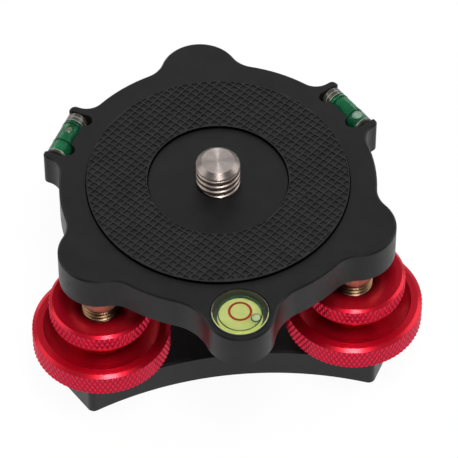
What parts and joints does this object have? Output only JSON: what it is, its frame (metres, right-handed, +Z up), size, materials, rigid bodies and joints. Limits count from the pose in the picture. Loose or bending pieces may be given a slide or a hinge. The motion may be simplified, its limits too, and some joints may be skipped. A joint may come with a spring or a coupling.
{
  "type": "leveling base",
  "caption": "Camera leveling base: a tilting round platform with bubble levels, carried on a tripod-mounted base by ball-ended studs with knurled adjusting and lock wheels.",
  "frame": {"origin": "mouth of the tripod socket, in the middle of the underside", "axes": "+Z up, along the camera screw; the round level points towards -Y; the back wheel stands towards +Y"},
  "size_m": [0.0842, 0.0893, 0.0516],
  "materials": {
    "base_plate": "black anodised, satin",
    "tripod_socket_insert": "machined stainless steel",
    "guide_bush_back": "machined",
    "guide_key_back": "ground",
    "retaining_clip_back": "spring wire",
    "thrust_washer_back": "slippery plastic",
    "adjusting_wheel_back": "red anodised, bright cut, knurled rim",
    "friction_washer_back": "smooth plastic",
    "lock_wheel_back": "red anodised, bright cut, knurled rim",
    "leveling_stud_back": "copper-coloured, threaded",
    "ball_cup_back": "smooth bearing plastic",
    "retainer_ring_back": "machined",
    "guide_bush_left": "machined",
    "guide_key_left": "ground",
    "retaining_clip_left": "spring wire",
    "thrust_washer_left": "slippery plastic",
    "adjusting_wheel_left": "red anodised, bright cut, knurled rim",
    "friction_washer_left": "smooth plastic",
    "lock_wheel_left": "red anodised, bright cut, knurled rim",
    "leveling_stud_left": "copper-coloured, threaded",
    "ball_cup_left": "smooth bearing plastic",
    "retainer_ring_left": "machined",
    "guide_bush_right": "machined",
    "guide_key_right": "ground",
    "retaining_clip_right": "spring wire",
    "thrust_washer_right": "slippery plastic",
    "adjusting_wheel_right": "red anodised, bright cut, knurled rim",
    "friction_washer_right": "smooth plastic",
    "lock_wheel_right": "red anodised, bright cut, knurled rim",
    "leveling_stud_right": "copper-coloured, threaded",
    "ball_cup_right": "smooth bearing plastic",
    "retainer_ring_right": "machined",
    "top_plate": "black anodised, satin",
    "grip_pad": "moulded fine diamond texture",
    "camera_screw": "turned stainless steel",
    "round_level_body": "clear acrylic",
    "round_level_backing": "dark green tinted",
    "round_level_liquid": "yellow-green liquid",
    "round_level_bubble": "air",
    "round_level_target": "printed ring",
    "tube_level_left": "clear acrylic",
    "tube_liquid_left": "green liquid",
    "tube_bubble_left": "air",
    "tube_lines_left": "printed lines",
    "tube_level_right": "clear acrylic",
    "tube_liquid_right": "green liquid",
    "tube_bubble_right": "air",
    "tube_lines_right": "printed lines"
  },
  "bodies": {
    "base": {"base_plate": "base_plate", "tripod_socket_insert": "tripod_socket_insert", "guide_bush_back": "guide_bush_back", "guide_key_back": "guide_key_back", "retaining_clip_back": "retaining_clip_back", "thrust_washer_back": "thrust_washer_back", "guide_bush_left": "guide_bush_left", "guide_key_left": "guide_key_left", "retaining_clip_left": "retaining_clip_left", "thrust_washer_left": "thrust_washer_left", "guide_bush_right": "guide_bush_right", "guide_key_right": "guide_key_right", "retaining_clip_right": "retaining_clip_right", "thrust_washer_right": "thrust_washer_right"},
    "adjuster_back": {"adjusting_wheel_back": "adjusting_wheel_back"},
    "friction_back": {"friction_washer_back": "friction_washer_back"},
    "lock_back": {"lock_wheel_back": "lock_wheel_back"},
    "stud_back": {"leveling_stud_back": "leveling_stud_back"},
    "adjuster_left": {"adjusting_wheel_left": "adjusting_wheel_left"},
    "friction_left": {"friction_washer_left": "friction_washer_left"},
    "lock_left": {"lock_wheel_left": "lock_wheel_left"},
    "stud_left": {"leveling_stud_left": "leveling_stud_left"},
    "adjuster_right": {"adjusting_wheel_right": "adjusting_wheel_right"},
    "friction_right": {"friction_washer_right": "friction_washer_right"},
    "lock_right": {"lock_wheel_right": "lock_wheel_right"},
    "stud_right": {"leveling_stud_right": "leveling_stud_right"},
    "cup_back": {"ball_cup_back": "ball_cup_back"},
    "cup_left": {"ball_cup_left": "ball_cup_left"},
    "platform": {"ball_cup_right": "ball_cup_right", "retainer_ring_back": "retainer_ring_back", "retainer_ring_left": "retainer_ring_left", "retainer_ring_right": "retainer_ring_right", "top_plate": "top_plate", "grip_pad": "grip_pad", "camera_screw": "camera_screw", "round_level_body": "round_level_body", "round_level_backing": "round_level_backing", "round_level_liquid": "round_level_liquid", "round_level_bubble": "round_level_bubble", "round_level_target": "round_level_target", "tube_level_left": "tube_level_left", "tube_liquid_left": "tube_liquid_left", "tube_bubble_left": "tube_bubble_left", "tube_lines_left": "tube_lines_left", "tube_level_right": "tube_level_right", "tube_liquid_right": "tube_liquid_right", "tube_bubble_right": "tube_bubble_right", "tube_lines_right": "tube_lines_right"}
  },
  "joints": [
    {"name": "adjust_back", "type": "hinge", "parent": "base", "child": "adjuster_back", "pos_m": [0, 0.0314, 0.0175], "axis": [0, 0, 1], "range_deg": [-720, 720]},
    {"name": "lift_back", "type": "slide", "parent": "base", "child": "stud_back", "axis": [0, 0, 1], "range_m": [-0.002, 0.002]},
    {"name": "lock_back", "type": "hinge", "parent": "friction_back", "child": "lock_back", "pos_m": [0, 0.0314, 0.0268], "axis": [0, 0, 1], "range_deg": [0, 360]},
    {"name": "lock_rise_back", "type": "slide", "parent": "adjuster_back", "child": "friction_back", "axis": [0, 0, 1], "range_m": [0, 0.001]},
    {"name": "adjust_left", "type": "hinge", "parent": "base", "child": "adjuster_left", "pos_m": [-0.02719, -0.0157, 0.0175], "axis": [0, 0, 1], "range_deg": [-720, 720]},
    {"name": "lift_left", "type": "slide", "parent": "base", "child": "stud_left", "axis": [0, 0, 1], "range_m": [-0.002, 0.002]},
    {"name": "lock_left", "type": "hinge", "parent": "friction_left", "child": "lock_left", "pos_m": [-0.02719, -0.0157, 0.0268], "axis": [0, 0, 1], "range_deg": [0, 360]},
    {"name": "lock_rise_left", "type": "slide", "parent": "adjuster_left", "child": "friction_left", "axis": [0, 0, 1], "range_m": [0, 0.001]},
    {"name": "adjust_right", "type": "hinge", "parent": "base", "child": "adjuster_right", "pos_m": [0.02719, -0.0157, 0.0175], "axis": [0, 0, 1], "range_deg": [-720, 720]},
    {"name": "lift_right", "type": "slide", "parent": "base", "child": "stud_right", "axis": [0, 0, 1], "range_m": [-0.002, 0.002]},
    {"name": "lock_right", "type": "hinge", "parent": "friction_right", "child": "lock_right", "pos_m": [0.02719, -0.0157, 0.0268], "axis": [0, 0, 1], "range_deg": [0, 360]},
    {"name": "lock_rise_right", "type": "slide", "parent": "adjuster_right", "child": "friction_right", "axis": [0, 0, 1], "range_m": [0, 0.001]},
    {"name": "tilt_back", "type": "hinge", "parent": "base", "child": "cup_back", "pos_m": [-0.02719, -0.0157, 0.03985], "axis": [1, 0, 0], "range_deg": [-2.44, 2.44]},
    {"name": "tilt_left", "type": "hinge", "parent": "cup_back", "child": "cup_left", "pos_m": [0, 0.0314, 0.03985], "axis": [-0.5, 0.866, 0], "range_deg": [-2.44, 2.44]},
    {"name": "tilt_right", "type": "hinge", "parent": "cup_left", "child": "platform", "pos_m": [0, 0.0314, 0.03985], "axis": [-0.5, -0.866, 0], "range_deg": [-2.44, 2.44]}
  ],
  "couplings": [
    {"joint": "lift_back", "follows": "adjust_back", "m_per_rad": -0.00015915},
    {"joint": "lock_rise_back", "follows": "lock_back", "m_per_rad": 0.00015915},
    {"joint": "lift_left", "follows": "adjust_left", "m_per_rad": -0.00015915},
    {"joint": "lock_rise_left", "follows": "lock_left", "m_per_rad": 0.00015915},
    {"joint": "lift_right", "follows": "adjust_right", "m_per_rad": -0.00015915},
    {"joint": "lock_rise_right", "follows": "lock_right", "m_per_rad": 0.00015915},
    {"joint": "tilt_back", "follows": "adjust_back", "ratio": -0.0033791},
    {"joint": "tilt_left", "follows": "adjust_left", "ratio": -0.0033791},
    {"joint": "tilt_right", "follows": "adjust_right", "ratio": -0.0033791}
  ]
}
